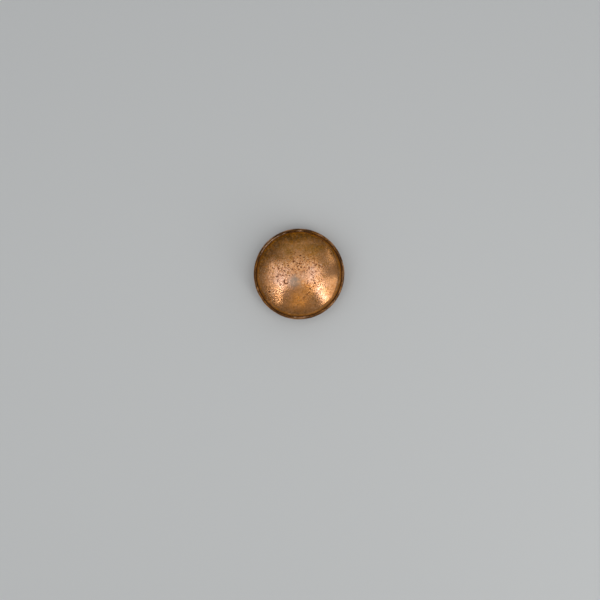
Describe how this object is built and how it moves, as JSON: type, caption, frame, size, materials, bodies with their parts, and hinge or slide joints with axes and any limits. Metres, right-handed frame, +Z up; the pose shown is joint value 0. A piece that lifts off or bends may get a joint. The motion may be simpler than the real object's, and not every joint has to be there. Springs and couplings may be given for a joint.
{
  "type": "coin capsule",
  "caption": "Small round copper case with a domed slip-on lid, rolled edges and velvet-lined inside, for coins up to 28 mm across.",
  "frame": {"origin": "middle of the flat foot, on the surface that the capsule stands on", "axes": "+Z up through the middle of the lid, the way the lid lifts; X and Y lie in the foot's plane and are alike, because the capsule is round"},
  "size_m": [0.034, 0.034, 0.0142],
  "materials": {
    "lid_copper": "aged copper, worn bright on the crown, pitted, brown tarnish by the edge",
    "dish_copper": "aged copper, brown tarnish, rubbed bright on the foot",
    "edge_wire": "drawn wire, dull",
    "collar_brass": "satin, rubbed by the lid",
    "pasteboard": "matt grey-brown board",
    "wadding": "loose cotton",
    "velvet": "short-pile velvet",
    "felt": "dense wool felt"
  },
  "bodies": {
    "base": {"base_shell": "dish_copper", "base_edge_wire": "edge_wire", "base_collar": "collar_brass", "base_board": "pasteboard", "base_wadding": "wadding", "base_velvet": "velvet", "coin_ring": "felt"},
    "lid_wire": {"lid_edge_wire": "edge_wire"},
    "lid": {"lid_shell": "lid_copper", "lid_board": "pasteboard", "lid_wadding": "wadding", "lid_velvet": "velvet"}
  },
  "joints": [
    {"name": "lid_lift", "type": "slide", "parent": "base", "child": "lid_wire", "axis": [0, 0, 1], "range_m": [0, 0.022]},
    {"name": "lid_turn", "type": "hinge", "parent": "lid_wire", "child": "lid", "pos_m": [0, 0, 0.0056], "axis": [0, 0, 1], "continuous": true}
  ]
}
